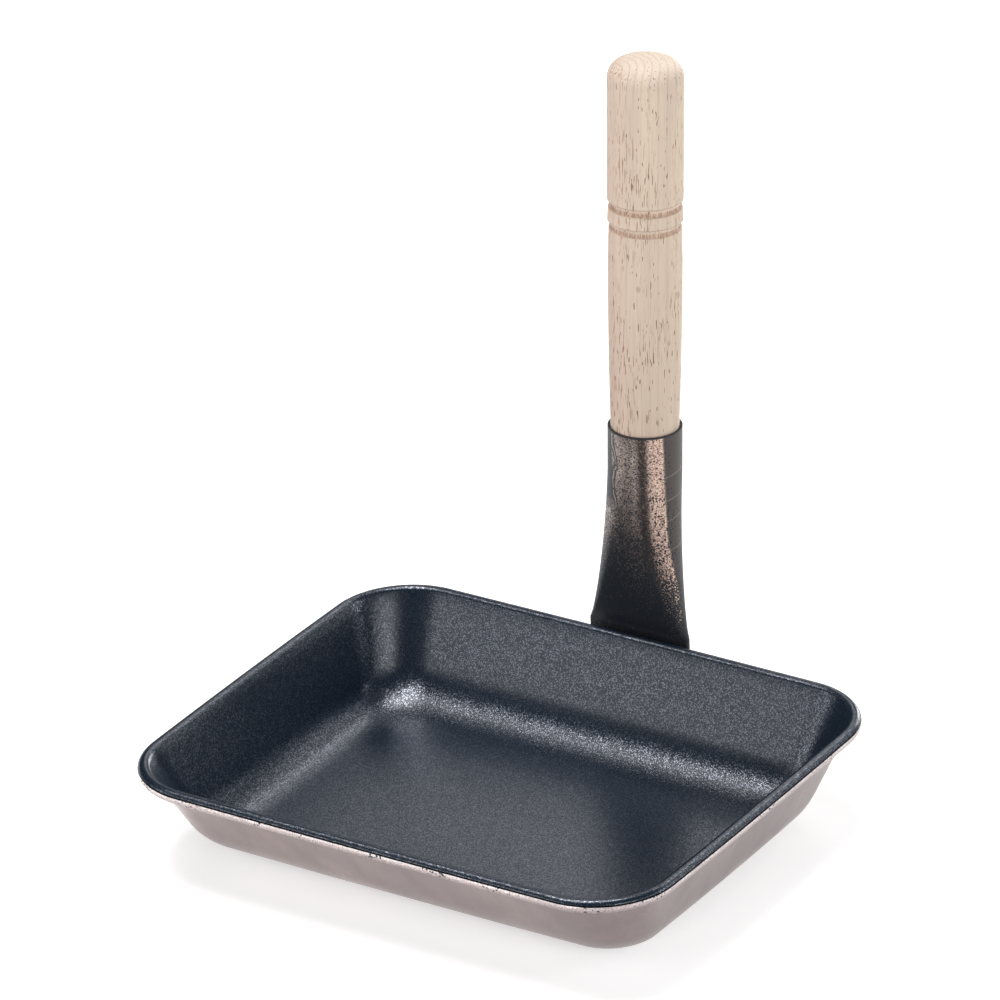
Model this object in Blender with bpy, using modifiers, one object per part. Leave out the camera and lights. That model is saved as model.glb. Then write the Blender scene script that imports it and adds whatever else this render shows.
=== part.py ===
"""A square one-portion pan of pressed steel with an upright wooden handle.

Metres, +Z up. The origin is the centre of the pan's flat underside. X runs along the pan's long
side, and +Y points towards the handle.
"""

import math

import bmesh
import bpy
from mathutils import Vector

# Pan body
rim_length = 0.190
rim_width = 0.158
pan_depth = 0.0332
pan_sheet = 0.0012
curl_hollow_radius = 0.0010
curl_turn = math.radians(250)
rim_corner_radius = 0.026
base_corner_radius = 0.014
short_wall_bend = 0.015
long_wall_bend = 0.025
short_wall_slope = math.radians(21)
long_wall_slope = math.radians(32)
short_side_bow = 0.0009
long_side_bow = 0.0006

# Handle socket
handle_tilt = math.radians(3.7)
axis_behind_rim = 0.0068
tube_diameter = 0.0238
socket_sheet = 0.0007
socket_above_rim = 0.0690
squeeze_curve = 0.82
flare_curve = 0.87
foot_behind_rim = 0.0038
foot_width = 0.0368
foot_hollow = 0.0008
foot_length = 0.0250
foot_corner_radius = 0.0060
straight_below_rim = 0.0045
joggle_length = 0.0140

# Wooden grip
grip_diameter = 0.0241
band_diameter = 0.0240
waist_diameter = 0.0236
grip_above_socket = 0.1232
top_flat_radius = 0.0062
top_crown = 0.0004
groove_below_top = 0.0478
groove_spacing = 0.0069
groove_width = 0.0029
groove_depth = 0.0008
taper_curve = 2.5
tenon_length = 0.0160
tenon_chamfer = 0.0006

# Nail through the socket's back into the middle of the tenon
nail_diameter = 0.0018
nail_length = 0.0090
nail_head_diameter = 0.0042
nail_head_height = 0.0010
nail_hole_spare = 0.0012

# Gap kept between two pieces that touch
seat_gap = 0.0003

# Facets
corner_facets = 8
side_facets = 3
bend_facets = 6
curl_facets = 9
tube_stations = 9
joggle_stations = 4
foot_corner_facets = 4
socket_facets = 32
dome_facets = 6
groove_facets = 6
taper_facets = 5
grip_facets = 36
nail_facets = 16
nail_head_facets = 4

# Sizes that follow from the ones above
curl_radius = curl_hollow_radius + pan_sheet
foot_thickness = 2 * socket_sheet + foot_hollow
squeeze_start = socket_above_rim - tenon_length
tenon_radius = tube_diameter / 2 - socket_sheet - seat_gap


def clear_scene():
    for item in list(bpy.data.objects):
        bpy.data.objects.remove(item, do_unlink=True)


def make_collection(name):
    collection = bpy.data.collections.new(name)
    bpy.context.scene.collection.children.link(collection)
    return collection


def make_material(name, color, roughness, metallic):
    material = bpy.data.materials.new(name)
    material.use_nodes = True
    shader = material.node_tree.nodes["Principled BSDF"]
    shader.inputs["Base Color"].default_value = (*color, 1)
    shader.inputs["Roughness"].default_value = roughness
    shader.inputs["Metallic"].default_value = metallic
    return material


def make_object(name, bm, collection, finishes=()):
    mesh = bpy.data.meshes.new(name)
    bm.to_mesh(mesh)
    bm.free()
    item = bpy.data.objects.new(name, mesh)
    collection.objects.link(item)
    for finish in finishes:
        mesh.materials.append(finish)
    return item


def shade_round(item, angle=math.radians(35)):
    item.data.shade_smooth()
    item.data.set_sharp_from_angle(angle=angle)


def add_solidify(item, thickness, offset):
    """Gives a surface its thickness. Its inner side takes the item's second finish, if it has one."""
    solidify = item.modifiers.new("sheet", "SOLIDIFY")
    solidify.thickness = thickness
    solidify.offset = offset
    solidify.use_even_offset = True
    solidify.material_offset = len(item.data.materials) - 1


def add_screw(item, steps):
    screw = item.modifiers.new("turn", "SCREW")
    screw.steps = steps
    screw.render_steps = steps
    screw.use_smooth_shade = True
    screw.use_merge_vertices = True
    screw.merge_threshold = 0.00001


def add_cut(item, cutter):
    cut = item.modifiers.new("cut", "BOOLEAN")
    cut.operation = "DIFFERENCE"
    cut.object = cutter


def loft(rings, fill_first=False):
    """A surface through rings of points, with the first ring filled where it is asked for."""
    bm = bmesh.new()
    loops = [[bm.verts.new(point) for point in ring] for ring in rings]
    for lower, upper in zip(loops, loops[1:]):
        for i in range(len(lower)):
            j = (i + 1) % len(lower)
            bm.faces.new((lower[i], lower[j], upper[j], upper[i]))
    if fill_first:
        bm.faces.new(list(reversed(loops[0])))
    return bm


def outline(profile):
    """The edges of a profile of (radius, height) points, top to bottom, for a Screw modifier."""
    bm = bmesh.new()
    verts = [bm.verts.new((radius, 0, height)) for radius, height in profile]
    for first, second in zip(verts, verts[1:]):
        bm.edges.new((first, second))
    return bm


def arc(centre, radius, start, end, steps):
    """Points (across, up) on an arc, from one angle to another."""
    angles = [start + (end - start) * step / steps for step in range(steps + 1)]
    return [(centre[0] + radius * math.cos(a), centre[1] + radius * math.sin(a)) for a in angles]


# The curl's centre, as (outward from the rim's outermost line, up)
curl_centre = (-curl_radius, pan_depth - curl_radius)


def bend_profile(slope, outer_bend):
    """The middle of the pan's sheet round the bend from the floor to a wall of this slope.

    Each point is (outward from the rim's outermost line, up).
    """
    bend = outer_bend - pan_sheet / 2
    wall_top = curl_profile(slope)[0]
    bend_top_up = outer_bend - bend * math.sin(slope)
    bend_top_out = wall_top[0] - (wall_top[1] - bend_top_up) * math.tan(slope)
    centre = (bend_top_out - bend * math.cos(slope), outer_bend)
    return arc(centre, bend, -math.pi / 2, -slope, bend_facets)


def curl_profile(slope):
    """The middle of the sheet round the rim's curl, from the top of a wall of this slope."""
    middle = curl_radius - pan_sheet / 2
    return arc(curl_centre, middle, math.pi - slope, math.pi - curl_turn, curl_facets)


def pan_quarter(short, long, radius):
    """A quarter of the outline, from the middle of a short side to the middle of a long side."""
    half_x = rim_length / 2 + short[0]
    half_y = rim_width / 2 + long[0]
    points = [(half_x, (half_y - radius) * i / side_facets, 0) for i in range(side_facets)]
    for i in range(corner_facets + 1):
        angle = math.pi / 2 * i / corner_facets
        x = half_x - radius + radius * math.cos(angle)
        y = half_y - radius + radius * math.sin(angle)
        points.append((x, y, math.sin(angle) ** 2))
    points += [((half_x - radius) * i / side_facets, half_y, 1) for i in reversed(range(side_facets))]
    quarter = []
    for x, y, towards_long in points:
        bow_x = short_side_bow * (x / half_x) ** 4 * (1 - (y / half_y) ** 2)
        bow_y = long_side_bow * (y / half_y) ** 4 * (1 - (x / half_x) ** 2)
        height = short[1] + (long[1] - short[1]) * towards_long
        quarter.append(Vector((x + bow_x, y + bow_y, height)))
    return quarter


def pan_ring(short, long, radius):
    quarter = pan_quarter(short, long, radius)
    second = [Vector((-p.x, p.y, p.z)) for p in reversed(quarter)]
    third = [Vector((-p.x, -p.y, p.z)) for p in quarter]
    fourth = [Vector((p.x, -p.y, p.z)) for p in reversed(quarter)]
    return quarter + second[1:] + third[1:] + fourth[1:-1]


def make_pan_body(collection):
    short_curl, long_curl = curl_profile(short_wall_slope), curl_profile(long_wall_slope)
    top_out = (short_curl[0][0] + long_curl[0][0]) / 2
    top_up = (short_curl[0][1] + long_curl[0][1]) / 2
    top_radius = rim_corner_radius + top_out
    short_bend = bend_profile(short_wall_slope, short_wall_bend)
    long_bend = bend_profile(long_wall_slope, long_wall_bend)
    rings = []
    for short, long in zip(short_bend, long_bend):
        share = (short[1] + long[1]) / 2 / top_up
        rings.append(pan_ring(short, long, base_corner_radius + (top_radius - base_corner_radius) * share))
    for short, long in zip(short_curl, long_curl):
        rings.append(pan_ring(short, long, rim_corner_radius + (short[0] + long[0]) / 2))
    outside = make_material("brown_metallic_coat", (0.42, 0.33, 0.30), 0.35, 0.8)
    inside = make_material("dark_nonstick_coat", (0.03, 0.035, 0.045), 0.45, 0.2)
    body = make_object("pan_body", loft(rings, fill_first=True), collection, [outside, inside])
    add_solidify(body, pan_sheet, 0)
    shade_round(body)
    return body


# The handle's axis leaves the rim's level here, and leans back a little
axis_foot = Vector((0, rim_width / 2 + long_side_bow + axis_behind_rim, pan_depth))
axis_direction = Vector((0, math.sin(handle_tilt), math.cos(handle_tilt)))

# Straight out of the long back wall, and straight down it
wall_outward = Vector((0, math.cos(long_wall_slope), -math.sin(long_wall_slope)))
wall_downward = Vector((0, -math.sin(long_wall_slope), -math.cos(long_wall_slope)))

# How far off the wall the middle of the foot lies
off_wall = seat_gap + foot_thickness / 2


def back_wall_top():
    """Where the long back wall's sheet meets the curl."""
    top_out, top_up = curl_profile(long_wall_slope)[0]
    return Vector((0, rim_width / 2 + long_side_bow + top_out, top_up))


def on_back_wall(down, out):
    """A point this far down the long back wall from the curl, and this far off its outer face."""
    return back_wall_top() + wall_downward * down + wall_outward * (pan_sheet / 2 + out)


def joggle_from(start):
    """Points from here to where the foot lies on the wall, drawing nearer to the wall smoothly."""
    away = start - back_wall_top()
    start_down = away.dot(wall_downward)
    start_out = away.dot(wall_outward) - pan_sheet / 2
    points = []
    for station in range(1, joggle_stations + 1):
        share = station / joggle_stations
        down = start_down + (joggle_length - start_down) * share
        out = start_out + (off_wall - start_out) * share**2 * (3 - 2 * share)
        points.append(on_back_wall(down, out))
    return points


def squeeze_at(height):
    """The socket's depth and width this far above the rim, along the handle's axis."""
    share = max(0, min(1, height / squeeze_start))
    roundness = math.sin(math.pi / 2 * share) ** squeeze_curve
    depth = foot_thickness + (tube_diameter - foot_thickness) * roundness
    width = foot_width + (tube_diameter - foot_width) * roundness**flare_curve
    return depth, width


def socket_middle():
    """Points down the socket's middle, from its mouth to where the foot lies on the wall."""
    points = []
    for station in range(tube_stations + 1):
        height = socket_above_rim * (1 - station / tube_stations)
        squeezed = max(0, 1 - height / squeeze_start)
        forward = (axis_behind_rim - foot_behind_rim) * squeezed
        points.append(axis_foot + axis_direction * height + Vector((0, -forward, 0)))
    points.append(points[-1] - axis_direction * straight_below_rim)
    points += joggle_from(points[-1])
    points.append(on_back_wall(foot_length - foot_corner_radius, off_wall))
    return points


def smoothed(points):
    """The points with one more between each two, on a Catmull-Rom curve through them all."""
    padded = [2 * points[0] - points[1], *points, 2 * points[-1] - points[-2]]
    found = []
    for before, start, end, after in zip(padded, padded[1:], padded[2:], padded[3:]):
        found += [start, (9 * (start + end) - before - after) / 16]
    return [*found, points[-1]]


def socket_ring(place, back, depth, width):
    """A tube's section squeezed to this depth and width, with its back towards this direction."""
    half_angle_of_flat = math.radians(15)
    ring = []
    for i in range(socket_facets):
        angle = 2 * math.pi * i / socket_facets
        side = max(-1, min(1, math.cos(angle) / math.sin(half_angle_of_flat)))
        across = (width - depth) / 2 * side + depth / 2 * math.cos(angle)
        ring.append(place + Vector((across, 0, 0)) + back * depth / 2 * math.sin(angle))
    return ring


def make_handle_socket(collection):
    middle = smoothed(socket_middle())
    rings = []
    for before, place, after in zip([middle[0], *middle], middle, [*middle[1:], middle[-1]]):
        along = (after - before).normalized()
        back = Vector((0, -along.z, along.y))
        depth, width = squeeze_at((place - axis_foot).dot(axis_direction))
        rings.append(socket_ring(place, back, depth, width))
    for step in range(1, foot_corner_facets + 1):
        angle = math.pi / 2 * step / foot_corner_facets
        place = on_back_wall(foot_length - foot_corner_radius * (1 - math.sin(angle)), off_wall)
        inset = foot_corner_radius * (1 - math.cos(angle))
        rings.append(socket_ring(place, wall_outward, foot_thickness, foot_width - 2 * inset))
    finish = make_material("copper_brown_coat", (0.22, 0.15, 0.12), 0.35, 0.8)
    socket = make_object("handle_socket", loft(list(reversed(rings))), collection, [finish])
    add_solidify(socket, socket_sheet, -1)
    shade_round(socket)
    return socket


def groove(height, radius_above, radius_below):
    """A rounded groove round the grip, from its upper lip to its lower lip."""
    points = []
    for step in range(groove_facets + 1):
        angle = math.pi * step / groove_facets
        lip = radius_above if step < groove_facets / 2 else radius_below
        points.append((lip - groove_depth * math.sin(angle), height + groove_width / 2 * math.cos(angle)))
    return points


def grip_profile():
    """The grip's outline from the top of its dome down to the end of its tenon."""
    top = socket_above_rim + grip_above_socket
    shoulder = grip_diameter / 2 - top_flat_radius
    upper_groove = top - groove_below_top
    profile = [(0, top), (top_flat_radius / 2, top - top_crown / 4)]
    profile += arc((top_flat_radius, top - top_crown - shoulder), shoulder, math.pi / 2, 0, dome_facets)
    profile += groove(upper_groove, grip_diameter / 2, band_diameter / 2)
    profile += groove(upper_groove - groove_spacing, band_diameter / 2, waist_diameter / 2)
    taper_top = profile[-1][1]
    for step in range(1, taper_facets + 1):
        share = step / taper_facets
        radius = waist_diameter / 2 + (tenon_radius - waist_diameter / 2) * share**taper_curve
        profile.append((radius, taper_top + (socket_above_rim - taper_top) * share))
    end = socket_above_rim - tenon_length
    profile.append((tenon_radius, end + tenon_chamfer))
    profile.append((tenon_radius - tenon_chamfer, end))
    profile.append((0, end))
    return profile


def make_handle_axis(collection):
    """An empty at the rim's level whose Z is the handle's axis. The grip and its nail hang on it."""
    axis = bpy.data.objects.new("handle_axis", None)
    axis.location = axis_foot
    axis.rotation_euler = (-handle_tilt, 0, 0)
    collection.objects.link(axis)
    return axis


def make_wooden_grip(collection, axis):
    finish = make_material("bare_beech", (0.72, 0.56, 0.42), 0.6, 0)
    grip = make_object("wooden_grip", outline(grip_profile()), collection, [finish])
    add_screw(grip, grip_facets)
    grip.parent = axis
    return grip


def lay_across(item, axis):
    """Turns a piece so that its own Z points backwards, out of the socket's back."""
    item.parent = axis
    item.location = (0, 0, socket_above_rim - tenon_length / 2)
    item.rotation_euler = (-math.pi / 2, 0, 0)


# Where the underside of the nail's head lies, out from the handle's axis
nail_seat = tube_diameter / 2 + seat_gap


def make_grip_nail(collection, axis):
    shank = nail_diameter / 2
    tip = nail_seat - nail_length
    profile = []
    for step in range(nail_head_facets + 1):
        angle = math.pi / 2 * step / nail_head_facets
        radius = nail_head_diameter / 2 * math.sin(angle)
        profile.append((radius, nail_seat + nail_head_height * math.cos(angle)))
    profile += [(shank, nail_seat), (shank, tip + nail_diameter), (0, tip)]
    finish = make_material("steel_nail", (0.45, 0.42, 0.40), 0.35, 1)
    nail = make_object("grip_nail", outline(profile), collection, [finish])
    add_screw(nail, nail_facets)
    lay_across(nail, axis)
    return nail


def make_nail_hole(collection, axis):
    """The hole through the socket's back and into the tenon, a little deeper than the nail."""
    depth = nail_length + 2 * nail_hole_spare
    radius = nail_diameter / 2 + seat_gap
    bm = bmesh.new()
    bmesh.ops.create_cone(
        bm, cap_ends=True, segments=nail_facets, radius1=radius, radius2=radius, depth=depth
    )
    bmesh.ops.translate(bm, verts=bm.verts, vec=(0, 0, nail_seat + nail_hole_spare - depth / 2))
    hole = make_object("nail_hole", bm, collection)
    lay_across(hole, axis)
    hole.hide_render = True
    hole.display_type = "WIRE"
    return hole


def build():
    clear_scene()
    pan = make_collection("square_pan")
    cutters = make_collection("cutters")
    make_pan_body(pan)
    axis = make_handle_axis(pan)
    socket = make_handle_socket(pan)
    grip = make_wooden_grip(pan, axis)
    make_grip_nail(pan, axis)
    hole = make_nail_hole(cutters, axis)
    add_cut(socket, hole)
    add_cut(grip, hole)


build()
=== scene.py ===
"""The looks of a rectangular one-portion pan with an upright wooden handle.

Metres, +Z up. The origin is the centre of the pan's flat underside, and the handle stands at +Y.
"""

import math

import bmesh
import bpy
from mathutils import Matrix, Vector


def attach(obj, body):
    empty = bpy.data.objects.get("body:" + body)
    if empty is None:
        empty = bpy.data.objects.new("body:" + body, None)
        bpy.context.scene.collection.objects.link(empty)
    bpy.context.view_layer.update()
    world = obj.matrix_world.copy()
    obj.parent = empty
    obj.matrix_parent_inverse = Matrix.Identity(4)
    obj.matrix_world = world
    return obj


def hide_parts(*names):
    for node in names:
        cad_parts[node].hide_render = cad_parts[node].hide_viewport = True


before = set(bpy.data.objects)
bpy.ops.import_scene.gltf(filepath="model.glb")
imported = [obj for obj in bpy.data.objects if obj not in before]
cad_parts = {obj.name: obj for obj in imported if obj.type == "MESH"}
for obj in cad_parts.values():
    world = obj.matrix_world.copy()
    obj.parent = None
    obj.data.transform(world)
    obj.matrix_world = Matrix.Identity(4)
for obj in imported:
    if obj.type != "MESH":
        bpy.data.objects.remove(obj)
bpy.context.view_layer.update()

MM = 0.001

# The pan: rim to rim, depth and sheet
PAN_LENGTH = 190 * MM
PAN_WIDTH = 158 * MM
PAN_DEPTH = 33.2 * MM
PAN_SHEET = 1.2 * MM
RIM_CORNER = 26 * MM
BASE_CORNER = 14 * MM
SHORT_WALL_BEND = 15 * MM
LONG_WALL_BEND = 25 * MM
SHORT_WALL_LEAN = math.radians(21)
LONG_WALL_LEAN = math.radians(32)
SHORT_SIDE_BULGE = 0.9 * MM
LONG_SIDE_BULGE = 0.6 * MM
CURL_RADIUS = 2.2 * MM
CURL_TURN = math.radians(250)
COAT_EDGE_ABOVE_LEVEL = math.radians(16)
COAT_EDGE_HEIGHT = PAN_DEPTH - CURL_RADIUS * (1 - math.sin(COAT_EDGE_ABOVE_LEVEL))

# The handle's socket
HANDLE_TILT = math.radians(3.7)
HANDLE_BEHIND_RIM = 6.8 * MM
TUBE_RADIUS = 11.9 * MM
SOCKET_SHEET = 0.7 * MM
SOCKET_HEIGHT = 69 * MM
SQUEEZE_START = 53 * MM
SQUEEZE_CURVE = 0.82
FLARE_CURVE = 0.87
FOOT_BEHIND_RIM = 3.8 * MM
FOOT_WIDTH = 36.8 * MM
FOOT_THICKNESS = 2.2 * MM
FOOT_LENGTH = 25 * MM
FOOT_CORNER = 6 * MM
STRAIGHT_BELOW_RIM = 4.5 * MM
JOGGLE = 14 * MM

# The wooden grip, with heights up the handle from the rim
GRIP_RADIUS = 12.05 * MM
BAND_RADIUS = 12 * MM
WAIST_RADIUS = 11.8 * MM
TENON_RADIUS = 10.9 * MM
TENON_END = 53 * MM
TENON_CHAMFER = 0.6 * MM
TAPER_CURVE = 2.5
GRIP_TOP = 192.2 * MM
TOP_FLAT_RADIUS = 6.2 * MM
TOP_CROWN = 0.4 * MM
UPPER_GROOVE = 144.4 * MM
LOWER_GROOVE = 137.5 * MM
GROOVE_WIDTH = 2.9 * MM
GROOVE_DEPTH = 0.8 * MM

# The nail through the socket's back
NAIL_HEIGHT = 61 * MM
NAIL_RADIUS = 0.9 * MM
NAIL_LENGTH = 9 * MM
NAIL_HEAD_RADIUS = 2.1 * MM
NAIL_HEAD_HEIGHT = 1.0 * MM
NAIL_POINT = 2 * NAIL_RADIUS

# The gap that stands for contact between two pieces
GAP = 0.3 * MM

# Heights this near each other count as the same
TOLERANCE = 0.01 * MM

# Edges less sharp than this are shaded smooth
SMOOTH_BELOW = math.radians(40)

# The photograph's camera, placed from the middle of the rim's level
VIEW_AZIMUTH = math.radians(33.476)
VIEW_ELEVATION = math.radians(26.591)
VIEW_ROLL = math.radians(-2.565)
VIEW_DISTANCE = 2658.65 * MM
VIEW_RIGHT = 0.04 * MM
VIEW_UP = 73.70 * MM
VIEW_LENS_MM = 307.6
VIEW_SENSOR_MM = 36
VIEW_REACH = 100

# The studio: square softboxes round the pan, each with its azimuth, elevation and watts.
# Azimuth 0 is in front of the pan, 90 at its right and 180 behind the handle.
SOFTBOX_SIZE = 0.55
SOFTBOX_DISTANCE = 1.8
SOFTBOX_AIM_HEIGHT = 40 * MM
SOFTBOXES = (
    (216, 75, 14.0),
    (288, 75, 12.0),
    (270, 59, 2.9),
    (147, 27, 1.3),
    (157, 36, 1.5),
    (180, 42, 3.6),
    (201, 38, 1.6),
    (60, 25, 8.8),
    (79, 22, 3.0),
    (120, 25, 5.4),
    (210, 25, 1.2),
    (300, 25, 3.2),
    (330, 25, 3.7),
    (0, 9, 11.0),
    (135, 9, 1.1),
    (180, 9, 8.0),
)

# The floor, and how bright the world is where the camera doesn't look at it
FLOOR_SIZE = 30
FLOOR_BELOW = 0.05 * MM
FLOOR_PAINT = 0.8
FLOOR_GLOW = 0.5
STUDIO_DIMNESS = 0.03


def deselect_everything():
    """Leaves edit mode and selects nothing."""
    if bpy.context.object and bpy.context.object.mode != "OBJECT":
        bpy.ops.object.mode_set(mode="OBJECT")
    bpy.ops.object.select_all(action="DESELECT")


def select_only(piece):
    deselect_everything()
    piece.select_set(True)
    bpy.context.view_layer.objects.active = piece


def name_piece(name):
    piece = bpy.context.object
    piece.name = name
    piece.data.name = name
    return piece


def edit_mesh():
    """The mesh that is being edited, with its tables ready."""
    mesh = bmesh.from_edit_mesh(bpy.context.object.data)
    mesh.verts.ensure_lookup_table()
    mesh.edges.ensure_lookup_table()
    mesh.faces.ensure_lookup_table()
    return mesh


def select_where(kind, wanted):
    """Selects only the verts, edges or faces of the edited mesh that are wanted."""
    bpy.ops.mesh.select_mode(type={"verts": "VERT", "edges": "EDGE", "faces": "FACE"}[kind])
    bpy.ops.mesh.select_all(action="DESELECT")
    mesh = edit_mesh()
    for element in getattr(mesh, kind):
        if wanted(element):
            element.select = True
    mesh.select_flush_mode()
    bmesh.update_edit_mesh(bpy.context.object.data)


def thicken(thickness, offset):
    """Gives the sheet of the active piece its thickness."""
    solidify = bpy.context.object.modifiers.new("sheet", "SOLIDIFY")
    solidify.thickness = thickness
    solidify.offset = offset
    solidify.use_even_offset = True
    bpy.ops.object.modifier_apply(modifier=solidify.name)


def face_outwards():
    """Turns every face of the edited mesh outwards."""
    bpy.ops.mesh.select_all(action="SELECT")
    bpy.ops.mesh.normals_make_consistent(inside=False)


def smooth(piece):
    select_only(piece)
    bpy.ops.object.shade_smooth_by_angle(angle=SMOOTH_BELOW)


# Pan

CURL_MIDDLE = CURL_RADIUS - PAN_SHEET / 2

# How its mesh is divided
FLOOR_BORDER = 2 * MM
CORNER_STEPS = 18
SIDE_CUTS = 13
BEND_LEVELS = 16
WALL_LEVELS = (17 * MM, 21 * MM, 25 * MM, 29 * MM)
COATED_CURL_STEPS = 12
BARE_CURL_STEPS = 7


def wall_top(lean):
    """Where the middle of a wall's sheet meets the curl: outward from the rim's edge, and up."""
    out = -CURL_RADIUS - CURL_MIDDLE * math.cos(lean)
    up = PAN_DEPTH - CURL_RADIUS + CURL_MIDDLE * math.sin(lean)
    return out, up


def wall_line(lean, outer_bend):
    """A function that says how far outward from the rim's edge the sheet's middle is at a height.

    The sheet bends up from the flat floor, and goes on as a straight leaning wall.
    """
    bend = outer_bend - PAN_SHEET / 2
    top_out, top_up = wall_top(lean)
    bend_top_up = outer_bend - bend * math.sin(lean)
    bend_top_out = top_out - (top_up - bend_top_up) * math.tan(lean)
    bend_centre_out = bend_top_out - bend * math.cos(lean)

    def outward_at(height):
        if height > bend_top_up:
            return top_out - (top_up - height) * math.tan(lean)
        return bend_centre_out + math.sqrt(max(0, bend**2 - (outer_bend - height) ** 2))

    return outward_at


def pan_outlines():
    """The pan's outlines as (height, outward on the short sides, on the long sides, corner)."""
    short_wall = wall_line(SHORT_WALL_LEAN, SHORT_WALL_BEND)
    long_wall = wall_line(LONG_WALL_LEAN, LONG_WALL_BEND)
    bend = LONG_WALL_BEND - PAN_SHEET / 2
    steepest = math.pi / 2 - LONG_WALL_LEAN
    heights = [
        LONG_WALL_BEND - bend * math.cos(steepest * i / BEND_LEVELS) for i in range(BEND_LEVELS + 1)
    ]
    heights += WALL_LEVELS
    top = PAN_DEPTH - CURL_RADIUS
    top_corner = RIM_CORNER - CURL_RADIUS - CURL_MIDDLE
    outlines = []
    for height in heights:
        corner = BASE_CORNER + (top_corner - BASE_CORNER) * height / top
        outlines.append((height, short_wall(height), long_wall(height), corner))
    coat_edge = math.pi - COAT_EDGE_ABOVE_LEVEL
    turns = [
        LONG_WALL_LEAN + (coat_edge - LONG_WALL_LEAN) * i / COATED_CURL_STEPS
        for i in range(COATED_CURL_STEPS)
    ]
    turns += [
        coat_edge + (CURL_TURN - coat_edge) * i / BARE_CURL_STEPS
        for i in range(BARE_CURL_STEPS + 1)
    ]
    for turn in turns:
        out = -CURL_RADIUS - CURL_MIDDLE * math.cos(turn)
        height = top + CURL_MIDDLE * math.sin(turn)
        outlines.append((height, out, out, RIM_CORNER + out))
    return outlines


def add_outline(height, short_out, long_out, corner):
    """Adds one outline of the pan to the edited mesh: a rectangle with rounded corners."""
    half_x = PAN_LENGTH / 2 + short_out
    half_y = PAN_WIDTH / 2 + long_out
    earlier = len(edit_mesh().verts)
    bpy.ops.mesh.select_all(action="DESELECT")
    bpy.ops.mesh.primitive_plane_add(size=2, location=(0, 0, height))
    bpy.ops.transform.resize(value=(half_x, half_y, 1))
    bpy.ops.mesh.bevel(offset=corner, segments=CORNER_STEPS, affect="VERTICES")
    bpy.ops.mesh.delete(type="ONLY_FACE")
    side = min(half_x, half_y) - corner
    select_where("edges", lambda e: e.verts[0].index >= earlier and e.calc_length() > side)
    bpy.ops.mesh.subdivide(number_cuts=SIDE_CUTS)


def bulge_sides(ring):
    """Bows the four sides of a ring outwards a little, as the pressed sheet springs."""
    half_x = max(v.co.x for v in ring)
    half_y = max(v.co.y for v in ring)
    for vert in ring:
        x, y = vert.co.x / half_x, vert.co.y / half_y
        vert.co.x += math.copysign(SHORT_SIDE_BULGE * x**4 * (1 - y**2), x)
        vert.co.y += math.copysign(LONG_SIDE_BULGE * y**4 * (1 - x**2), y)


def make_pan(coat, metal):
    """The pan, pressed from one sheet: its outlines joined by faces, and given the thickness."""
    deselect_everything()
    outlines = pan_outlines()
    bpy.ops.mesh.primitive_plane_add()
    bpy.ops.object.mode_set(mode="EDIT")
    bpy.ops.mesh.delete(type="VERT")
    for outline in outlines:
        add_outline(*outline)
    mesh = edit_mesh()
    around = len(mesh.verts) // len(outlines)
    for ring in range(len(outlines)):
        bulge_sides(mesh.verts[ring * around : (ring + 1) * around])
    for ring in range(len(outlines) - 1):
        low, high = ring * around, (ring + 2) * around
        select_where("verts", lambda v: low <= v.index < high)
        bpy.ops.mesh.bridge_edge_loops()
    select_where("verts", lambda v: v.index < around)
    bpy.ops.mesh.edge_face_add()
    bpy.ops.mesh.inset(thickness=FLOOR_BORDER)
    face_outwards()
    bpy.ops.object.mode_set(mode="OBJECT")
    thicken(PAN_SHEET, 0)
    pan = name_piece("pan")
    coat_faces(pan, coat, metal)
    smooth(pan)
    return pan


def coat_faces(pan, coat, metal):
    """Gives the faces that the sprayed coat reaches its finish, and the rest the bare one."""
    pan.data.materials.append(metal)
    pan.data.materials.append(coat)
    lowest = math.sin(COAT_EDGE_ABOVE_LEVEL)
    for face in pan.data.polygons:
        up = face.normal.z
        inwards = face.normal.x * face.center.x + face.normal.y * face.center.y < 0
        face.material_index = 1 if up > lowest or (inwards and up > 0) else 0


# Socket

SOCKET_SIDES = 64
SOCKET_STATIONS = 9
JOGGLE_STATIONS = 4
SOCKET_SMOOTHING = 4
FOOT_CORNER_STEPS = 8
HALF_ANGLE_OF_FLAT = math.radians(15)

AXIS_FOOT = Vector((0, PAN_WIDTH / 2 + LONG_SIDE_BULGE + HANDLE_BEHIND_RIM, PAN_DEPTH))
AXIS_DIRECTION = Vector((0, math.sin(HANDLE_TILT), math.cos(HANDLE_TILT)))
WALL_OUTWARD = Vector((0, math.cos(LONG_WALL_LEAN), -math.sin(LONG_WALL_LEAN)))
WALL_DOWNWARD = Vector((0, -math.sin(LONG_WALL_LEAN), -math.cos(LONG_WALL_LEAN)))
OFF_WALL = GAP + FOOT_THICKNESS / 2


def back_wall_top():
    """Where the long back wall's sheet meets the curl."""
    out, up = wall_top(LONG_WALL_LEAN)
    return Vector((0, PAN_WIDTH / 2 + LONG_SIDE_BULGE + out, up))


def on_back_wall(down, out):
    """A point this far down the long back wall from the curl, and this far off its outer face."""
    return back_wall_top() + WALL_DOWNWARD * down + WALL_OUTWARD * (PAN_SHEET / 2 + out)


def joggle_from(start):
    """Points from here to where the foot lies on the wall, drawing nearer to the wall smoothly."""
    away = start - back_wall_top()
    start_down = away.dot(WALL_DOWNWARD)
    start_out = away.dot(WALL_OUTWARD) - PAN_SHEET / 2
    points = []
    for station in range(1, JOGGLE_STATIONS + 1):
        share = station / JOGGLE_STATIONS
        down = start_down + (JOGGLE - start_down) * share
        out = start_out + (OFF_WALL - start_out) * share**2 * (3 - 2 * share)
        points.append(on_back_wall(down, out))
    return points


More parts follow.
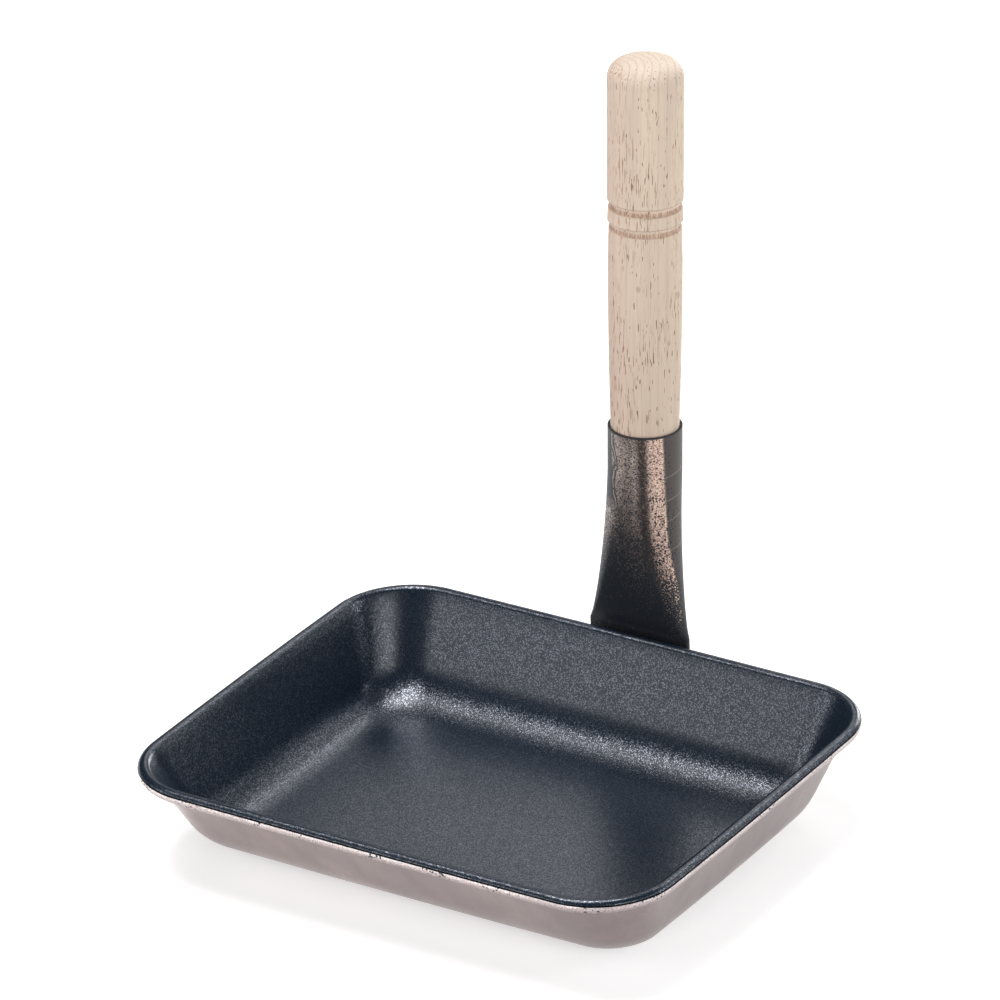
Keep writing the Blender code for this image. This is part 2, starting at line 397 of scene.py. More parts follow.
def squeeze_at(height):
    """The socket's depth and width this far above the rim, along the handle's axis."""
    share = max(0, min(1, height / SQUEEZE_START))
    roundness = math.sin(math.pi / 2 * share) ** SQUEEZE_CURVE
    depth = FOOT_THICKNESS + (2 * TUBE_RADIUS - FOOT_THICKNESS) * roundness
    width = FOOT_WIDTH + (2 * TUBE_RADIUS - FOOT_WIDTH) * roundness**FLARE_CURVE
    return depth, width


def socket_route():
    """Points down the socket's middle, from its mouth to where the foot's corners start."""
    points = []
    for station in range(SOCKET_STATIONS + 1):
        height = SOCKET_HEIGHT * (1 - station / SOCKET_STATIONS)
        squeezed = max(0, 1 - height / SQUEEZE_START)
        forward = (HANDLE_BEHIND_RIM - FOOT_BEHIND_RIM) * squeezed
        points.append(AXIS_FOOT + AXIS_DIRECTION * height + Vector((0, -forward, 0)))
    points.append(points[-1] - AXIS_DIRECTION * STRAIGHT_BELOW_RIM)
    points += joggle_from(points[-1])
    points.append(on_back_wall(FOOT_LENGTH - FOOT_CORNER, OFF_WALL))
    return points


def smoothed(points, steps):
    """More points between each two, on a Catmull-Rom curve through them all."""
    padded = [2 * points[0] - points[1], *points, 2 * points[-1] - points[-2]]
    found = []
    for before, start, end, after in zip(padded, padded[1:], padded[2:], padded[3:]):
        for step in range(steps):
            t = step / steps
            found.append(
                0.5
                * (
                    2 * start
                    + (end - before) * t
                    + (2 * before - 5 * start + 4 * end - after) * t**2
                    + (3 * start - before - 3 * end + after) * t**3
                )
            )
    return [*found, points[-1]]


def squeeze_ring(place, back, depth, width):
    """Squeezes the ring that was extruded last to this depth and width, its back this way."""
    for i, vert in enumerate(edit_mesh().verts[-SOCKET_SIDES:]):
        angle = 2 * math.pi * i / SOCKET_SIDES
        side = max(-1, min(1, math.cos(angle) / math.sin(HALF_ANGLE_OF_FLAT)))
        across = (width - depth) / 2 * side + depth / 2 * math.cos(angle)
        vert.co = place + Vector((across, 0, 0)) + back * depth / 2 * math.sin(angle)


def make_socket(finish):
    """The handle's socket: a tube pressed flatter and wider down to its foot on the back wall."""
    deselect_everything()
    bpy.ops.mesh.primitive_circle_add(vertices=SOCKET_SIDES, radius=TUBE_RADIUS)
    bpy.ops.object.mode_set(mode="EDIT")
    route = smoothed(socket_route(), SOCKET_SMOOTHING)
    for before, place, after in zip([route[0], *route], route, [*route[1:], route[-1]]):
        along = (after - before).normalized()
        if place != route[0]:
            bpy.ops.mesh.extrude_edges_move()
        back = Vector((0, -along.z, along.y))
        squeeze_ring(place, back, *squeeze_at((place - AXIS_FOOT).dot(AXIS_DIRECTION)))
    for step in range(1, FOOT_CORNER_STEPS + 1):
        angle = math.pi / 2 * step / FOOT_CORNER_STEPS
        place = on_back_wall(FOOT_LENGTH - FOOT_CORNER * (1 - math.sin(angle)), OFF_WALL)
        inset = FOOT_CORNER * (1 - math.cos(angle))
        bpy.ops.mesh.extrude_edges_move()
        squeeze_ring(place, WALL_OUTWARD, FOOT_THICKNESS, FOOT_WIDTH - 2 * inset)
    face_outwards()
    bpy.ops.object.mode_set(mode="OBJECT")
    thicken(SOCKET_SHEET, -1)
    socket = name_piece("socket")
    socket.data.materials.append(finish)
    smooth(socket)
    return socket


# Grip

GRIP_SIDES = 96
GROOVE_STEPS = 10
TAPER_STEPS = 6
DOME_STEPS = 12
CROWN_STEPS = 4


def cut_rings(rings):
    """Cuts rings round the grip at these heights up its axis, and gives each its radius."""
    for height, radius in rings:
        bpy.ops.mesh.select_all(action="SELECT")
        bpy.ops.mesh.bisect(plane_co=(0, 0, height), plane_no=(0, 0, 1))
    for height, radius in rings:
        select_where("verts", lambda v: abs(v.co.z - height) < TOLERANCE)
        scale = radius / GRIP_RADIUS
        bpy.ops.transform.resize(value=(scale, scale, 1))


def groove_rings(middle, radius_above, radius_below):
    """Heights and radii of a rounded groove, from its upper lip to its lower lip."""
    rings = []
    for step in range(GROOVE_STEPS + 1):
        angle = math.pi * step / GROOVE_STEPS
        lip = radius_above if step < GROOVE_STEPS / 2 else radius_below
        height = middle + GROOVE_WIDTH / 2 * math.cos(angle)
        rings.append((height, lip - GROOVE_DEPTH * math.sin(angle)))
    return rings


def stand_on_axis(piece):
    """Moves a piece made along Z onto the handle's axis, with heights counted from the rim."""
    select_only(piece)
    piece.location = AXIS_FOOT
    piece.rotation_euler = (-HANDLE_TILT, 0, 0)
    bpy.ops.object.transform_apply(location=True, rotation=True, scale=True)


def crown_top():
    """Raises the flat end of the grip a little towards its middle."""
    step = TOP_FLAT_RADIUS / CROWN_STEPS
    for inner in range(CROWN_STEPS - 1, 0, -1):
        bpy.ops.mesh.inset(thickness=step)
        rise = TOP_CROWN * ((inner + 1) ** 2 - inner**2) / CROWN_STEPS**2
        bpy.ops.transform.translate(value=(0, 0, rise))
    bpy.ops.mesh.poke(offset=TOP_CROWN / CROWN_STEPS**2)


def make_grip(finish):
    """The grip, turned from one piece of beech, with two grooves and a tenon in the socket."""
    deselect_everything()
    shoulder = GRIP_TOP - TOP_CROWN
    bpy.ops.mesh.primitive_cylinder_add(
        vertices=GRIP_SIDES,
        radius=GRIP_RADIUS,
        depth=shoulder - TENON_END,
        location=(0, 0, (shoulder + TENON_END) / 2),
    )
    bpy.ops.object.transform_apply(location=True)
    bpy.ops.object.mode_set(mode="EDIT")
    rings = groove_rings(UPPER_GROOVE, GRIP_RADIUS, BAND_RADIUS)
    rings += groove_rings(LOWER_GROOVE, BAND_RADIUS, WAIST_RADIUS)
    taper_top = rings[-1][0]
    for step in range(1, TAPER_STEPS + 1):
        share = step / TAPER_STEPS
        radius = WAIST_RADIUS + (TENON_RADIUS - WAIST_RADIUS) * share**TAPER_CURVE
        rings.append((taper_top + (SOCKET_HEIGHT - taper_top) * share, radius))
    rings.append((TENON_END + TENON_CHAMFER, TENON_RADIUS))
    cut_rings(rings)
    select_where("verts", lambda v: v.co.z < TENON_END + TOLERANCE)
    scale = (TENON_RADIUS - TENON_CHAMFER) / GRIP_RADIUS
    bpy.ops.transform.resize(value=(scale, scale, 1))
    top = shoulder - TOLERANCE
    select_where("edges", lambda e: min(v.co.z for v in e.verts) > top)
    bpy.ops.mesh.bevel(offset=GRIP_RADIUS - TOP_FLAT_RADIUS, segments=DOME_STEPS)
    select_where("faces", lambda f: f.calc_center_median().z > top)
    crown_top()
    face_outwards()
    bpy.ops.object.mode_set(mode="OBJECT")
    grip = name_piece("grip")
    stand_on_axis(grip)
    grip.data.materials.append(finish)
    smooth(grip)
    return grip


# Nail

NAIL_SIDES = 32
NAIL_HEAD_STEPS = 6
NAIL_HEAD_ROUNDING = 0.95 * NAIL_HEAD_HEIGHT


def make_nail(finish):
    """The nail that holds the grip: a domed head on the socket's back, and a pointed shank."""
    deselect_everything()
    seat = TUBE_RADIUS + GAP
    bpy.ops.mesh.primitive_cylinder_add(
        vertices=NAIL_SIDES,
        radius=NAIL_HEAD_RADIUS,
        depth=NAIL_HEAD_HEIGHT,
        location=(0, 0, seat + NAIL_HEAD_HEIGHT / 2),
    )
    bpy.ops.object.transform_apply(location=True)
    bpy.ops.object.mode_set(mode="EDIT")
    top = seat + NAIL_HEAD_HEIGHT - TOLERANCE
    select_where("edges", lambda e: min(v.co.z for v in e.verts) > top)
    bpy.ops.mesh.bevel(offset=NAIL_HEAD_ROUNDING, segments=NAIL_HEAD_STEPS)
    select_where("faces", lambda f: f.normal.z < -0.9)
    bpy.ops.mesh.inset(thickness=NAIL_HEAD_RADIUS - NAIL_RADIUS)
    for length in (NAIL_LENGTH - NAIL_POINT, NAIL_POINT):
        bpy.ops.mesh.extrude_region_move(TRANSFORM_OT_translate={"value": (0, 0, -length)})
    bpy.ops.mesh.merge(type="CENTER")
    face_outwards()
    bpy.ops.object.mode_set(mode="OBJECT")
    nail = name_piece("nail")
    nail.location = (0, 0, NAIL_HEIGHT)
    nail.rotation_euler = (-math.pi / 2, 0, 0)
    bpy.ops.object.transform_apply(location=True, rotation=True)
    stand_on_axis(nail)
    nail.data.materials.append(finish)
    smooth(nail)
    return nail


# Finishes. Colours are linear, and the patterns are counted per metre.

# The socket's painted reflections and the grip's tones change from side to side, this far round
# from X
REFLECTION_AND_TONE_DIRECTION = math.radians(33.5)

# How fine the flakes in the pan's coat are, and how far they are tilted
FLAKES_PER_METRE = 3900
FLAKE_TILT = 0.12

# How metallic the bare plating is, outside on the pan and on the socket
PLATING_METALLIC = 0.92

# On the socket: the run of coat this far left of the middle, and each scratch's height
RUN_LEFT = 8.0 * MM
SCRATCHES = (54.3 * MM, 46.3 * MM, 39.5 * MM, 29.6 * MM)

# Where the grip's axis lies, counted from the beech's pith
FROM_PITH = (9 * MM, 13 * MM, 0)


class Finish:
    """A material made of nodes, with a call for each kind of step that the finishes share."""

    def __init__(self, name):
        self.material = bpy.data.materials.new(name)
        self.material.use_nodes = True
        self.nodes = self.material.node_tree.nodes
        self.links = self.material.node_tree.links
        self.nodes.clear()

    def add(self, kind, inputs=None, **settings):
        """A node of this kind, with its settings and with a value or a link for each input."""
        node = self.nodes.new("ShaderNode" + kind)
        for key, value in settings.items():
            setattr(node, key, value)
        for key, value in (inputs or {}).items():
            if hasattr(value, "is_output"):
                self.links.new(value, node.inputs[key])
            else:
                node.inputs[key].default_value = value
        return node

    def place(self):
        """A place on the piece, counted from the origin."""
        return self.add("TexCoord").outputs["Object"]

    def from_axis(self, place):
        """A place counted from where the handle's axis meets the rim's level."""
        return self.add("VectorMath", {0: place, 1: tuple(-AXIS_FOOT)}).outputs[0]

    def turned(self, vector, rotation):
        return self.add("Mapping", {"Vector": vector, "Rotation": rotation}).outputs["Vector"]

    def stretched(self, vector, share):
        """Draws a pattern out along Z, by counting only this share of the height."""
        return self.add("Mapping", {"Vector": vector, "Scale": (1, 1, share)}).outputs["Vector"]

    def axes(self, vector):
        return self.add("SeparateXYZ", {0: vector}).outputs

    def noise(self, vector, per_metre, detail, roughness=0.5):
        inputs = {"Vector": vector, "Scale": per_metre, "Detail": detail, "Roughness": roughness}
        return self.add("TexNoise", inputs).outputs["Fac"]

    def cells(self, vector, per_metre):
        """For scattered cells: how far each place is from its cell's middle, and its colour."""
        cells = self.add("TexVoronoi", {"Vector": vector, "Scale": per_metre})
        return cells.outputs["Distance"], cells.outputs["Color"]

    def chance(self, cell_colour, channel):
        """A number from 0 to 1 that is the same all over one cell."""
        return self.add("SeparateColor", {0: cell_colour}).outputs[channel]

    def reckon(self, operation, first, second=0.0, third=0.0):
        inputs = {0: first, 1: second, 2: third}
        return self.add("Math", inputs, operation=operation).outputs[0]

    def minus(self, first, second):
        return self.reckon("SUBTRACT", first, second)

    def times(self, first, *others):
        for other in others:
            first = self.reckon("MULTIPLY", first, other)
        return first

    def most(self, first, *others):
        for other in others:
            first = self.reckon("MAXIMUM", first, other)
        return first

    def distance(self, first, second):
        return self.reckon("ABSOLUTE", self.minus(first, second))

    def shifted(self, value, noise, amount):
        """A value that noise pushes up and down."""
        return self.reckon("MULTIPLY_ADD", self.minus(noise, 0.5), amount, value)

    def spread(self, value, low, high, to_low=0.0, to_high=1.0):
        """Goes smoothly from one level to the other while the value goes from low to high."""
        inputs = {
            "Value": value,
            "From Min": low,
            "From Max": high,
            "To Min": to_low,
            "To Max": to_high,
        }
        return self.add("MapRange", inputs, interpolation_type="SMOOTHSTEP").outputs[0]

    def between(self, value, start, full, full_end, end):
        """1 from full to full_end, fading to 0 at start and end."""
        return self.times(self.spread(value, start, full), self.spread(value, end, full_end))

    def mix(self, share, first, second):
        inputs = {"Factor": share, 6: first, 7: second}
        return self.add("Mix", inputs, data_type="RGBA").outputs[2]

    def bump(self, height, strength, depth):
        inputs = {"Strength": strength, "Distance": depth, "Height": height}
        return self.add("Bump", inputs).outputs["Normal"]

    def shade(self, base, roughness, metallic, normal, specular=0.5):
        """Ends the material in a surface of this kind."""
        inputs = {
            "Base Color": base,
            "Roughness": roughness,
            "Metallic": metallic,
            "Normal": normal,
            "Specular IOR Level": specular,
        }
        shader = self.add("BsdfPrincipled", inputs)
        self.add("OutputMaterial", {"Surface": shader.outputs["BSDF"]})
        return self.material


def colour(red, green, blue):
    return (red, green, blue, 1)


def tilted(finish, facing, direction):
    """The surface's own normal, tipped a little in the direction of each flake's colour."""
    off_middle = finish.add("VectorMath", {0: direction, 1: (0.5, 0.5, 0.5)}, operation="SUBTRACT")
    tilt = {0: off_middle.outputs[0], "Scale": FLAKE_TILT}
    tilt = finish.add("VectorMath", tilt, operation="SCALE")
    tipped = finish.add("VectorMath", {0: facing, 1: tilt.outputs[0]}, operation="ADD")
    return finish.add("VectorMath", {0: tipped.outputs[0]}, operation="NORMALIZE").outputs[0]


def finish_nonstick_coat():
    """Sprayed non-stick coat: blue-black, with fine tilted flakes, a quarter of them bright."""
    finish = Finish("nonstick_coat")
    mix, spread = finish.mix, finish.spread
    place = finish.place()
    facing = finish.add("NewGeometry").outputs["Normal"]
    _, flakes = finish.cells(place, FLAKES_PER_METRE)
    chance = finish.chance(flakes, "Blue")
    base = mix(chance, colour(0.003, 0.009, 0.018), colour(0.008, 0.018, 0.034))
    bright_flake = spread(chance, 0.74, 0.78)
    base = mix(bright_flake, base, colour(0.138, 0.147, 0.176))

    # Painted dark reflection: a matt black line where the coat ends, on the outside of the curl
    # only
    above_edge = finish.minus(finish.axes(place)["Z"], COAT_EDGE_HEIGHT)
    painted_dark_edge = finish.between(above_edge, -0.1 * MM, 0.0, 0.35 * MM, 0.55 * MM)
    outwards = finish.add("VectorMath", {0: place, 1: facing}, operation="DOT_PRODUCT")
    painted_dark_edge = finish.times(painted_dark_edge, finish.reckon("GREATER_THAN", outwards.outputs["Value"], 0.0))
    base = mix(painted_dark_edge, base, colour(0.002, 0.002, 0.002))

    return finish.shade(
        base,
        roughness=spread(painted_dark_edge, 0, 1, 0.28, 0.5),
        metallic=finish.most(bright_flake, painted_dark_edge),
        normal=tilted(finish, facing, flakes),
        specular=0.37,
    )


def finish_brown_metal():
    """The bare finish outside: a satin champagne brown, with a flecked lip that has a painted
    highlight along its top.
    """
    finish = Finish("brown_metal")
    mix, spread, times = finish.mix, finish.spread, finish.times
    place = finish.place()
    across, depth, height = finish.axes(place)
    clouds = finish.noise(place, 38, detail=3, roughness=0.6)
    grain = finish.noise(place, 2200, detail=2, roughness=0.7)
    streaks = finish.noise(finish.stretched(place, 0.12), 130, detail=3, roughness=0.55)
    warm, grey = colour(0.37, 0.30, 0.29), colour(0.33, 0.28, 0.28)
    base = mix(spread(clouds, 0.35, 0.65), warm, grey)
    base = mix(spread(streaks, 0.35, 0.7, 0, 0.45), base, colour(0.25, 0.20, 0.195))
    base = mix(spread(grain, 0.3, 0.7, 0, 0.25), base, colour(0.24, 0.19, 0.175))
    # Painted shade: the outside grows darker towards the bottom
    base = mix(spread(height, 5.5 * MM, 1.5 * MM, 0, 0.35), base, colour(0.18, 0.15, 0.145))

    # The lip below the coat's edge sparkles, and has a painted highlight along its top
    below_edge = finish.minus(COAT_EDGE_HEIGHT, height)
    lip = spread(below_edge, 1.25 * CURL_RADIUS, 1.1 * CURL_RADIUS)
    sparkle = times(spread(grain, 0.45, 0.58), lip, 0.7)
    base = mix(sparkle, base, colour(0.66, 0.58, 0.57))
    painted_lip_highlight = times(
        spread(below_edge, 1.1 * MM, 0.2 * MM),
        spread(streaks, 0.35, 0.6, 0.45, 1),
        spread(grain, 0.40, 0.52, 0.2, 1),
    )
    base = mix(painted_lip_highlight, base, colour(0.80, 0.74, 0.73))

    # Painted shade in the crease between the curl and the wall, deepest at the right
    painted_crease_shade = finish.between(below_edge, *(turn * CURL_RADIUS for turn in (1.0, 1.2, 1.9, 2.2)))
    painted_crease_shade = times(painted_crease_shade, spread(across, 50 * MM, 80 * MM, 0.6, 0.95))
    base = mix(painted_crease_shade, base, colour(0.12, 0.095, 0.09))

    # Painted shade: the front right corner is darkest, and the right side is darker than the front
    painted_side_shade = spread(across, 52 * MM, 74 * MM, 0, 0.38)
    painted_side_shade = times(painted_side_shade, spread(depth, -66 * MM, -48 * MM, 1, 0.7))
    base = mix(painted_side_shade, base, colour(0.17, 0.145, 0.15))

    # Loose groups of dark specks on the lip
    patches = finish.noise(place, 60, detail=2)
    speck_size = times(spread(patches, 0.50, 0.66, 0.05, 0.42), lip)
    from_speck, _ = finish.cells(place, 900)
    specks = finish.reckon("LESS_THAN", from_speck, speck_size)
    base = mix(specks, base, colour(0.02, 0.018, 0.02))

    peel = finish.noise(place, 420, detail=2, roughness=0.55)
    return finish.shade(
        base,
        roughness=spread(clouds, 0.3, 0.7, 0.27, 0.35),
        metallic=finish.minus(PLATING_METALLIC, times(specks, PLATING_METALLIC)),
        normal=finish.bump(peel, 0.12, 0.2 * MM),
    )


def finish_socket_copper():
    """Copper-brown plating with painted upright bands of reflection, under black coat that thins
    upwards into a mist.
    """
    finish = Finish("socket_copper")
    mix, spread, times = finish.mix, finish.spread, finish.times
    place = finish.place()
    from_axis = finish.from_axis(place)
    across, depth, height = finish.axes(finish.turned(from_axis, (0, 0, -REFLECTION_AND_TONE_DIRECTION)))
    drawn = finish.stretched(place, 0.06)
    lines = finish.noise(drawn, 500, detail=3, roughness=0.6)
    wander = finish.noise(drawn, 60, detail=1)
    clouds = finish.noise(place, 90, detail=3, roughness=0.6)
    grain = finish.noise(place, 2000, detail=2, roughness=0.7)

    # The painted reflection bands wander a little, and drift right lower down
    band_across = finish.shifted(across, wander, 2.5 * MM)
    band_across = finish.minus(band_across, spread(height, 38 * MM, 8 * MM, 0, 3.4 * MM))

    # Cloudy copper at the left, a painted highlight stripe at the right and a painted dark
    # reflection band between them
    light, dark = colour(0.36, 0.30, 0.27), colour(0.20, 0.165, 0.15)
    copper = mix(spread(clouds, 0.35, 0.65), light, dark)
    painted_highlight_stripe = finish.between(band_across, 1.6 * MM, 3.8 * MM, 7.4 * MM, 8.6 * MM)
    copper = mix(painted_highlight_stripe, copper, colour(0.63, 0.455, 0.375))
    painted_dark_band = spread(finish.distance(band_across, 0.8 * MM), 2.4 * MM, 0.2 * MM)
    painted_dark_band = times(painted_dark_band, spread(height, 10 * MM, 48 * MM, 0.6, 0.9))
    copper = mix(painted_dark_band, copper, colour(0.04, 0.03, 0.027))

    # Painted dark reflections on the sides of the front half, the left one only high up and with a
    # cloudy end
    uneven = finish.reckon("MULTIPLY_ADD", clouds, 30 * MM, height)
    painted_left_reflection = times(spread(across, -8.0 * MM, -8.8 * MM), spread(uneven, 52 * MM, 66 * MM))
    painted_right_reflection = spread(band_across, 7.6 * MM, 8.6 * MM)
    side = times(finish.most(painted_left_reflection, painted_right_reflection), spread(depth, 7 * MM, 1 * MM))
    left_reflection_colour, right_reflection_colour = colour(0.02, 0.021, 0.027), colour(0.058, 0.046, 0.042)
    side_reflection_colour = mix(spread(across, -1 * MM, 1 * MM), left_reflection_colour, right_reflection_colour)
    copper = mix(side, copper, side_reflection_colour)

    # Drawn lines, and a dark and a light speckle that leave the painted side reflections out
    copper = mix(spread(lines, 0.4, 0.7, 0, 0.35), copper, colour(0.05, 0.038, 0.034))
    off_side_reflections = finish.minus(1.0, side)
    speckle = times(spread(grain, 0.53, 0.42, 0, 0.75), off_side_reflections)
    copper = mix(speckle, copper, colour(0.04, 0.032, 0.03))
    speckle = times(spread(grain, 0.56, 0.66, 0, 0.35), off_side_reflections)
    copper = mix(speckle, copper, colour(0.55, 0.43, 0.38))

    # A run of coat, dark at its edges, with a painted highlight along its middle
    off_run = finish.distance(finish.shifted(across, clouds, 4.0 * MM), -RUN_LEFT)
    run_height = spread(height, 36 * MM, 48 * MM)
    run = times(spread(off_run, 0.8 * MM, 0.4 * MM), run_height, 0.9)
    copper = mix(run, copper, colour(0.03, 0.025, 0.025))
    painted_run_highlight = times(spread(off_run, 0.25 * MM, 0.05 * MM), run_height, 0.45)
    copper = mix(painted_run_highlight, copper, colour(0.45, 0.40, 0.37))

    # Fine scratches on the right side
    for scratch in SCRATCHES:
        slanted = finish.reckon("MULTIPLY_ADD", across, 0.08, scratch)
        cut = spread(finish.distance(height, slanted), 0.4 * MM, 0.1 * MM)
        cut = times(cut, spread(band_across, 7.6 * MM, 8.6 * MM, 0, 0.4))
        copper = mix(cut, copper, colour(0.26, 0.22, 0.20))

    # The coat is closed at the foot. Upwards, and to the right, it breaks up into dots and mist
    reach = finish.reckon("MULTIPLY_ADD", across, 0.65, height)
    reach = finish.shifted(reach, clouds, 14 * MM)
    from_dot, dots = finish.cells(place, 1300)
    dot_size = spread(finish.chance(dots, "Red"), 0.2, 0.9, 0, 0.55)
    dot_size = times(dot_size, spread(reach, 75 * MM, 30 * MM, 0.65, 1.0))
    dotted = spread(finish.minus(dot_size, from_dot), -0.04, 0.04)
    mist = finish.noise(place, 2400, detail=1)
    misted = finish.minus(mist, spread(reach, -2 * MM, 60 * MM, 0.29, 0.74))
    misted = spread(misted, -0.03, 0.03)

    # It also lies on the mouth's edge
    along = finish.axes(finish.turned(from_axis, (HANDLE_TILT, 0, 0)))["Z"]
    mouth = spread(along, SOCKET_HEIGHT - 0.7 * MM, SOCKET_HEIGHT - 0.3 * MM)
    coat = finish.most(dotted, misted, mouth)
    matt = finish.most(coat, side)

    return finish.shade(
        mix(coat, copper, colour(0.011, 0.014, 0.020)),
        roughness=spread(matt, 0, 1, 0.32, 0.5),
        metallic=spread(matt, 0, 1, PLATING_METALLIC, 0.0),
        normal=finish.bump(coat, 0.3, 0.05 * MM),
        specular=0.35,
    )


def finish_beech():
    """Bare turned beech: growth rings round a distant pith, fine fibres and many short flecks."""
    finish = Finish("beech")
    mix, spread, times = finish.mix, finish.spread, finish.times
    from_axis = finish.from_axis(finish.place())
    grown = finish.turned(from_axis, (HANDLE_TILT, 0, 0))
    along = finish.axes(grown)["Z"]
    across = finish.axes(finish.turned(from_axis, (0, 0, -REFLECTION_AND_TONE_DIRECTION)))["X"]
    fine = finish.noise(finish.stretched(grown, 0.04), 1500, detail=2, roughness=0.6)
    broad = finish.noise(finish.stretched(grown, 0.06), 150, detail=3, roughness=0.6)
    pale, tan = colour(0.69, 0.57, 0.45), colour(0.61, 0.495, 0.40)
    base = mix(spread(broad, 0.3, 0.7), pale, tan)

    # The end grain is greyer, and the left side rosier
    end = spread(along, GRIP_TOP - 9 * MM, GRIP_TOP, 0, 0.6)
    base = mix(end, base, colour(0.60, 0.525, 0.45))
    rosy = spread(across, 3 * MM, -8 * MM)
    base = mix(times(rosy, 0.6), base, colour(0.62, 0.455, 0.38))

    # Growth rings, clearest on the end grain, and fibres
    from_pith = {"Vector": finish.stretched(grown, 0.3), "Location": FROM_PITH}
    rings = finish.add(
        "TexWave",
        {
            "Vector": finish.add("Mapping", from_pith).outputs["Vector"],
            "Scale": 131,
            "Distortion": 1.6,
            "Detail": 2,
            "Detail Scale": 0.6,
        },
        wave_type="RINGS",
        rings_direction="Z",
        wave_profile="SAW",
    )
    end_grain = spread(along, GRIP_TOP - 14 * MM, GRIP_TOP - 4 * MM, 0.25, 0.6)
    late_wood = times(spread(rings.outputs["Fac"], 0.7, 1.0), end_grain)
    base = mix(late_wood, base, colour(0.50, 0.34, 0.23))
    base = mix(spread(fine, 0.45, 0.75, 0, 0.35), base, colour(0.52, 0.37, 0.28))

    # Thin flecks in crowds, mostly at the left, and a few bold ones
    thin = finish.noise(finish.stretched(grown, 0.08), 2600, detail=1, roughness=0.4)
    crowd = finish.noise(finish.stretched(grown, 0.2), 110, detail=1)
    crowd = finish.reckon("MULTIPLY_ADD", rosy, 0.12, crowd)
    thin = times(spread(thin, 0.62, 0.655), spread(crowd, 0.44, 0.66, 0.05, 0.85))
    base = mix(thin, base, colour(0.31, 0.18, 0.11))
    bold = finish.noise(finish.stretched(grown, 0.15), 1500, detail=1)
    bold = times(spread(bold, 0.69, 0.71), 0.9)
    base = mix(bold, base, colour(0.21, 0.11, 0.065))

    # A few round brown marks where rays come to the surface
    from_ray, rays = finish.cells(finish.stretched(grown, 0.7), 150)
    ray = spread(finish.chance(rays, "Red"), 0.50, 0.56, 0, 0.6)
    ray = times(spread(from_ray, 0.17, 0.08), ray)
    base = mix(ray, base, colour(0.40, 0.26, 0.18))

    # Painted shade in each groove, ticked just below its middle, and a thin line of painted shade
    # at its upper lip
    for groove in (UPPER_GROOVE, LOWER_GROOVE):
        below_middle = finish.minus(groove, along)
        off_floor = finish.distance(below_middle, 0.18 * GROOVE_WIDTH)
        ticks = finish.reckon("MULTIPLY_ADD", spread(fine, 0.4, 0.6), 0.45, 0.3)
        shade = times(spread(off_floor, 0.38 * GROOVE_WIDTH, 0.12 * GROOVE_WIDTH), ticks)
        base = mix(shade, base, colour(0.34, 0.19, 0.12))
        off_lip = finish.distance(below_middle, -0.5 * GROOVE_WIDTH)
        base = mix(spread(off_lip, 0.3 * MM, 0.05 * MM, 0, 0.5), base, colour(0.30, 0.19, 0.12))

    relief = finish.reckon("MULTIPLY_ADD", finish.most(thin, bold), -1.5, fine)
    return finish.shade(
        base,
        roughness=spread(fine, 0.3, 0.7, 0.55, 0.68),
        metallic=0.0,
        normal=finish.bump(relief, 0.2, 0.1 * MM),
        specular=0.3,
    )


def finish_nail_steel():
    """Dull steel, a little scuffed by the hammer."""
    finish = Finish("nail_steel")
    scuffs = finish.noise(finish.place(), 1500, detail=3, roughness=0.6)
    return finish.shade(
        finish.mix(scuffs, colour(0.30, 0.28, 0.27), colour(0.50, 0.47, 0.45)),
        roughness=finish.spread(scuffs, 0.3, 0.7, 0.28, 0.45),
        metallic=1.0,
        normal=finish.bump(scuffs, 0.3, 0.05 * MM),
    )


nonstick_coat = finish_nonstick_coat()
brown_metal = finish_brown_metal()

pan = make_pan(nonstick_coat, brown_metal)
socket = make_socket(finish_socket_copper())
grip = make_grip(finish_beech())
nail = make_nail(finish_nail_steel())

for piece, node, slot in (
    (pan, "pan_body", "pan_coat"),
    (socket, "handle_socket", "socket_coat"),
    (grip, "wooden_grip", "grip_wood"),
    (nail, "grip_nail", "nail_steel"),
):
    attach(piece, "root")
    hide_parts(node)


# Floor, light and camera


def make_floor():
    """A pale floor that softens the pan's shadow with a glow of its own.

    It glows only where the camera looks, also by way of a mirror or through glass.
    """
    deselect_everything()
    bpy.ops.mesh.primitive_plane_add(size=FLOOR_SIZE, location=(0, 0, -FLOOR_BELOW))
    floor = name_piece("floor")
    finish = Finish("pale_floor")
    path = finish.add("LightPath").outputs
    seen = finish.most(path["Is Camera Ray"], path["Is Glossy Ray"], path["Is Transmission Ray"])
    strength = finish.times(seen, FLOOR_GLOW)
    glow = finish.add("Emission", {"Color": colour(1, 1, 1), "Strength": strength})
    paint = finish.add("BsdfDiffuse", {"Color": colour(FLOOR_PAINT, FLOOR_PAINT, FLOOR_PAINT)})
    both = finish.add("AddShader", {0: paint.outputs["BSDF"], 1: glow.outputs["Emission"]})
    finish.add("OutputMaterial", {"Surface": both.outputs["Shader"]})
    floor.data.materials.append(finish.material)


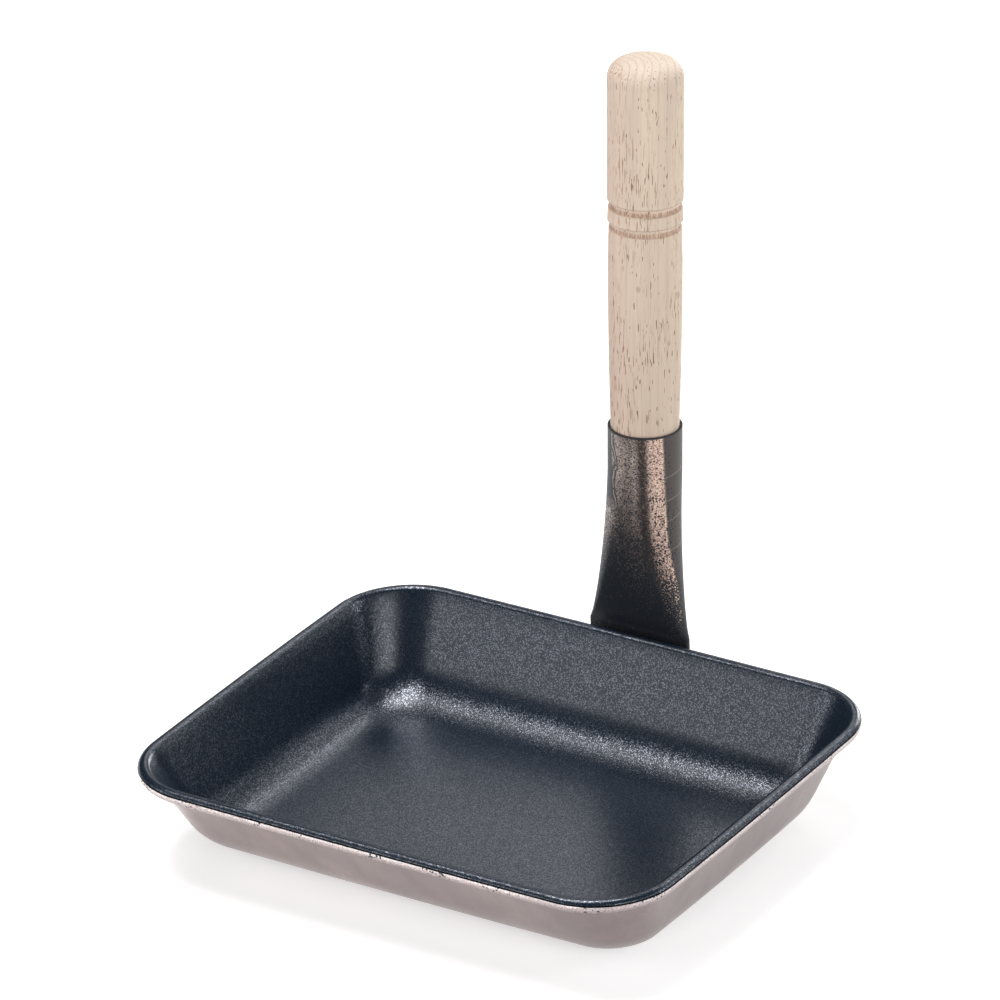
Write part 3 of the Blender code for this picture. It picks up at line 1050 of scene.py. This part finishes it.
def add_softbox(azimuth, elevation, watts):
    """A square lamp in this direction from the pan, facing it."""
    turn, rise = math.radians(azimuth), math.radians(elevation)
    across = math.cos(rise)
    direction = Vector((math.sin(turn) * across, -math.cos(turn) * across, math.sin(rise)))
    lamp = bpy.data.lights.new("softbox", "AREA")
    lamp.shape = "SQUARE"
    lamp.size = SOFTBOX_SIZE
    lamp.energy = watts
    item = bpy.data.objects.new("softbox", lamp)
    item.location = Vector((0, 0, SOFTBOX_AIM_HEIGHT)) + direction * SOFTBOX_DISTANCE
    item.rotation_euler = direction.to_track_quat("Z", "Y").to_euler()
    item.visible_camera = False
    bpy.context.scene.collection.objects.link(item)


def light_scene():
    """A dim studio that is white where the camera looks straight at it, and its softboxes."""
    world = bpy.data.worlds.new("studio")
    bpy.context.scene.world = world
    world.use_nodes = True
    nodes, links = world.node_tree.nodes, world.node_tree.links
    path = nodes.new("ShaderNodeLightPath")
    level = nodes.new("ShaderNodeMath")
    level.operation = "MAXIMUM"
    level.inputs[1].default_value = STUDIO_DIMNESS
    links.new(path.outputs["Is Camera Ray"], level.inputs[0])
    links.new(level.outputs[0], nodes["Background"].inputs["Strength"])
    nodes["Background"].inputs["Color"].default_value = colour(1, 1, 1)
    for softbox in SOFTBOXES:
        add_softbox(*softbox)


def make_camera():
    """The camera at the photograph's viewing angle."""
    azimuth, elevation = VIEW_AZIMUTH, VIEW_ELEVATION
    back = Vector(
        (
            math.sin(azimuth) * math.cos(elevation),
            -math.cos(azimuth) * math.cos(elevation),
            math.sin(elevation),
        )
    )
    right = Vector((math.cos(azimuth), math.sin(azimuth), 0))
    up = back.cross(right)
    roll = Matrix.Rotation(VIEW_ROLL, 3, back)
    right, up = roll @ right, roll @ up
    camera = bpy.data.objects.new("camera", bpy.data.cameras.new("camera"))
    camera.data.lens = VIEW_LENS_MM
    camera.data.sensor_width = VIEW_SENSOR_MM
    camera.data.clip_end = VIEW_REACH
    rim = Vector((0, 0, PAN_DEPTH))
    camera.location = rim + back * VIEW_DISTANCE + right * VIEW_RIGHT + up * VIEW_UP
    camera.rotation_euler = Matrix((right, up, back)).transposed().to_euler()
    bpy.context.scene.collection.objects.link(camera)
    bpy.context.scene.camera = camera


make_floor()
light_scene()
make_camera()
bpy.context.scene.view_settings.view_transform = "Standard"
